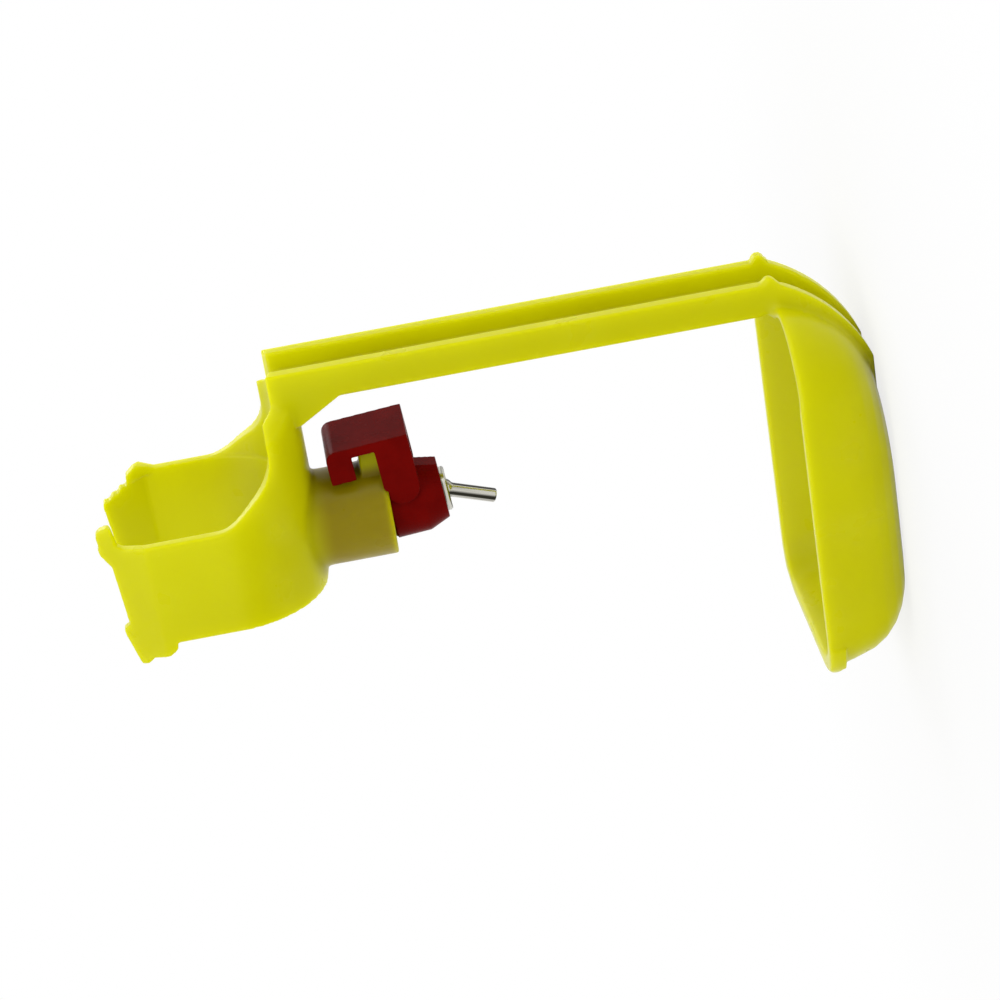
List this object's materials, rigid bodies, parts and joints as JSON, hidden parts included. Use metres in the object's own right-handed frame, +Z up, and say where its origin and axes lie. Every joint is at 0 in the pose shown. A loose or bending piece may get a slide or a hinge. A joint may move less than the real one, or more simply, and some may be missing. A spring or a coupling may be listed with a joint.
{
  "type": "poultry nipple drinker",
  "caption": "Poultry nipple drinker: yellow moulding with pipe saddle, channel arm and drip cup, red plug-in nipple with latch loop and a loose steel trigger pin",
  "frame": {"origin": "where the axis of the water pipe crosses the axis of the nipple, inside the saddle", "axes": "+Z up as the drinker hangs below its pipe, +Y from the nipple towards the arm and along the pipe, +X across the pipe"},
  "size_m": [0.0388, 0.0642, 0.1201],
  "materials": {
    "yellow_plastic": "satin moulded",
    "red_plastic": "glossy moulded",
    "stainless": "turned",
    "black_rubber": "matt"
  },
  "bodies": {
    "bracket": {"drip_cup_bracket": "yellow_plastic", "nipple_body": "red_plastic", "seat_insert": "stainless", "upper_seat": "stainless", "retaining_ring": "stainless", "stem_o_ring": "black_rubber", "pipe_seal": "black_rubber"},
    "valve": {"valve_stem": "stainless"},
    "trigger": {"trigger_pin": "stainless"}
  },
  "joints": [
    {"name": "valve_lift", "type": "slide", "parent": "bracket", "child": "valve", "axis": [0, -0.0732, 0.9973], "range_m": [0, 0.0008]},
    {"name": "pin_tilt", "type": "hinge", "parent": "bracket", "child": "trigger", "pos_m": [0, 0.001, -0.03556], "axis": [1, 0, 0], "range_deg": [0, 48]}
  ]
}
